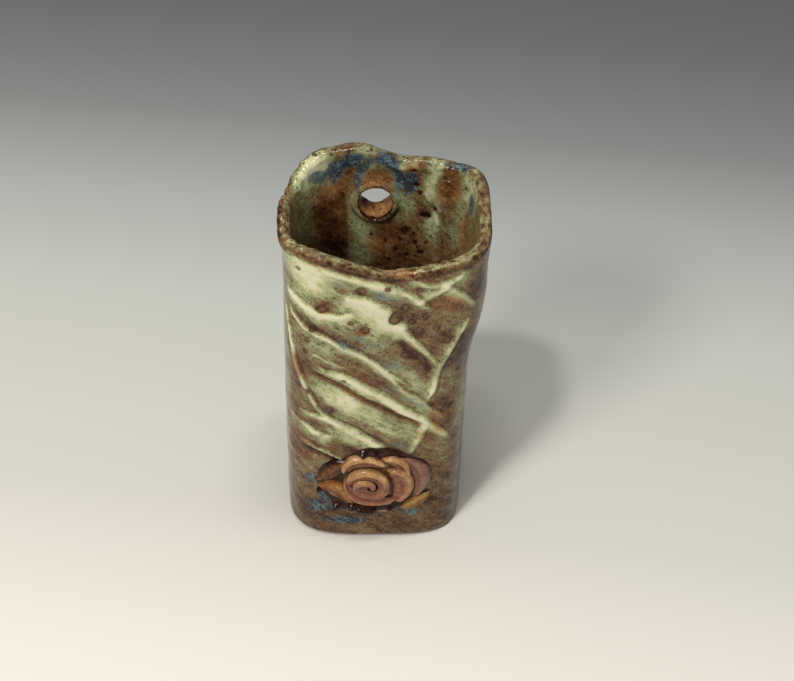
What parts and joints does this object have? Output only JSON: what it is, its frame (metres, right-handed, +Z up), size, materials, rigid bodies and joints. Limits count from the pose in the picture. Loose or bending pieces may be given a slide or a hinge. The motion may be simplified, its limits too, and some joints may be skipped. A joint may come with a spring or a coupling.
{
  "type": "bud vase",
  "caption": "Slab-built ceramic bud vase and wall pocket with a wavy lip, a hanging hole in the back and a rose modelled on the front.",
  "frame": {"origin": "middle of the overall box in plan, on the surface that the vase stands on", "axes": "+Z up, +Y towards the back slab and the wall it hangs on, +X to the viewer's right"},
  "size_m": [0.0668, 0.0538, 0.133],
  "materials": {
    "body_glaze": "gloss",
    "petal_glaze": "gloss",
    "leaf_glaze": "gloss"
  },
  "bodies": {
    "root": {"front_wrap": "body_glaze", "back_slab": "body_glaze", "base_slab": "body_glaze", "seam_coil": "body_glaze", "rose_bud": "petal_glaze", "petal_top_left": "petal_glaze", "petal_top_right": "petal_glaze", "petal_right": "petal_glaze", "petal_bottom": "petal_glaze", "leaf_left_upper": "leaf_glaze", "leaf_left_lower": "leaf_glaze", "leaf_right": "leaf_glaze", "leaf_lower_right": "leaf_glaze"}
  },
  "joints": []
}
